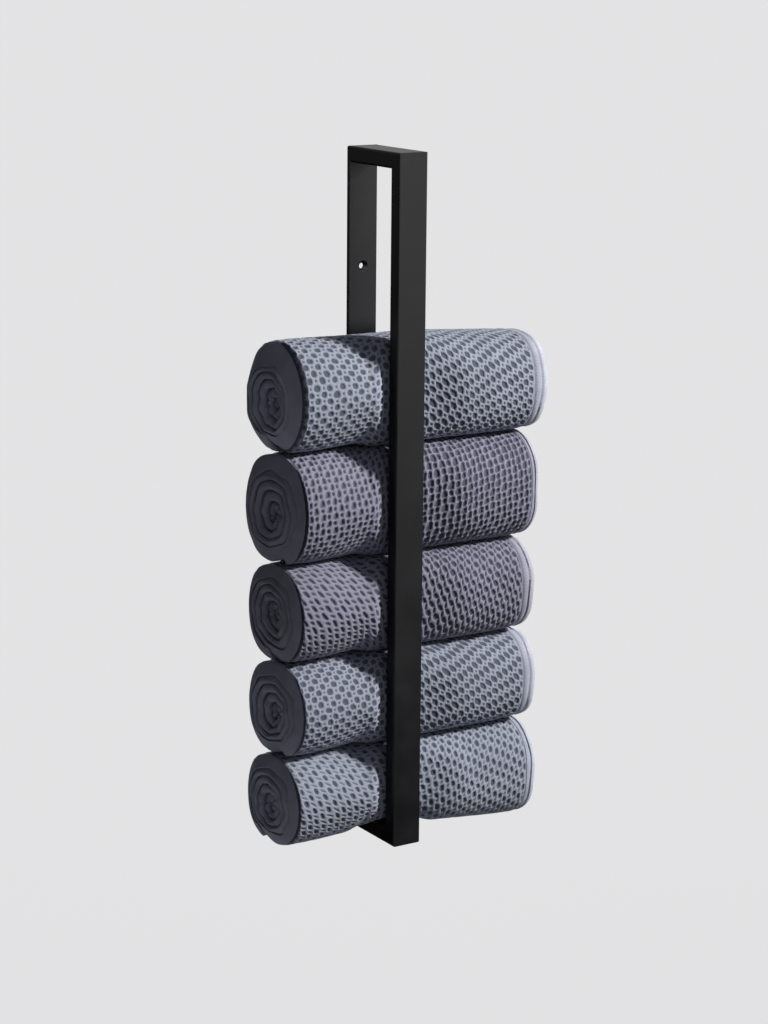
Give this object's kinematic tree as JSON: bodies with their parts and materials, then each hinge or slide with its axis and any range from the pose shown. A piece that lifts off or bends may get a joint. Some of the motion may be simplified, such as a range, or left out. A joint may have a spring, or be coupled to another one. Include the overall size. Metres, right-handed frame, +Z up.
{
  "type": "towel bar",
  "caption": "Upright wall-mounted loop of black steel tube and flat bar that grips a stack of rolled towels, which pull out sideways.",
  "frame": {"origin": "on the wall, at the middle of the wall plate's back face, half-way between its two screw holes", "axes": "+X along the wall to the right, +Y into the wall, +Z up along the bar"},
  "size_m": [0.283, 0.09, 0.65],
  "materials": {
    "coated_steel": "matte black powder coat",
    "blue_grey_knit": "open cotton knit",
    "blue_grey_border": "plain ribbed cotton border",
    "mauve_knit": "open cotton knit",
    "mauve_border": "plain ribbed cotton border"
  },
  "bodies": {
    "frame": {"front_bar": "coated_steel", "top_arm": "coated_steel", "bottom_arm": "coated_steel", "wall_plate": "coated_steel"},
    "towel_1": {"towel_1_cloth": "blue_grey_knit", "towel_1_left_border": "blue_grey_border", "towel_1_right_border": "blue_grey_border"},
    "towel_2": {"towel_2_cloth": "mauve_knit", "towel_2_left_border": "mauve_border", "towel_2_right_border": "mauve_border"},
    "towel_3": {"towel_3_cloth": "mauve_knit", "towel_3_left_border": "mauve_border", "towel_3_right_border": "mauve_border"},
    "towel_4": {"towel_4_cloth": "blue_grey_knit", "towel_4_left_border": "blue_grey_border", "towel_4_right_border": "blue_grey_border"},
    "towel_5": {"towel_5_cloth": "blue_grey_knit", "towel_5_left_border": "blue_grey_border", "towel_5_right_border": "blue_grey_border"}
  },
  "joints": [
    {"name": "towel_1_pull", "type": "slide", "parent": "frame", "child": "towel_1", "axis": [1, 0, 0], "range_m": [-0.185, 0.16]},
    {"name": "towel_2_pull", "type": "slide", "parent": "frame", "child": "towel_2", "axis": [1, 0, 0], "range_m": [-0.185, 0.16]},
    {"name": "towel_3_pull", "type": "slide", "parent": "frame", "child": "towel_3", "axis": [1, 0, 0], "range_m": [-0.185, 0.16]},
    {"name": "towel_4_pull", "type": "slide", "parent": "frame", "child": "towel_4", "axis": [1, 0, 0], "range_m": [-0.185, 0.16]},
    {"name": "towel_5_pull", "type": "slide", "parent": "frame", "child": "towel_5", "axis": [1, 0, 0], "range_m": [-0.185, 0.16]}
  ]
}
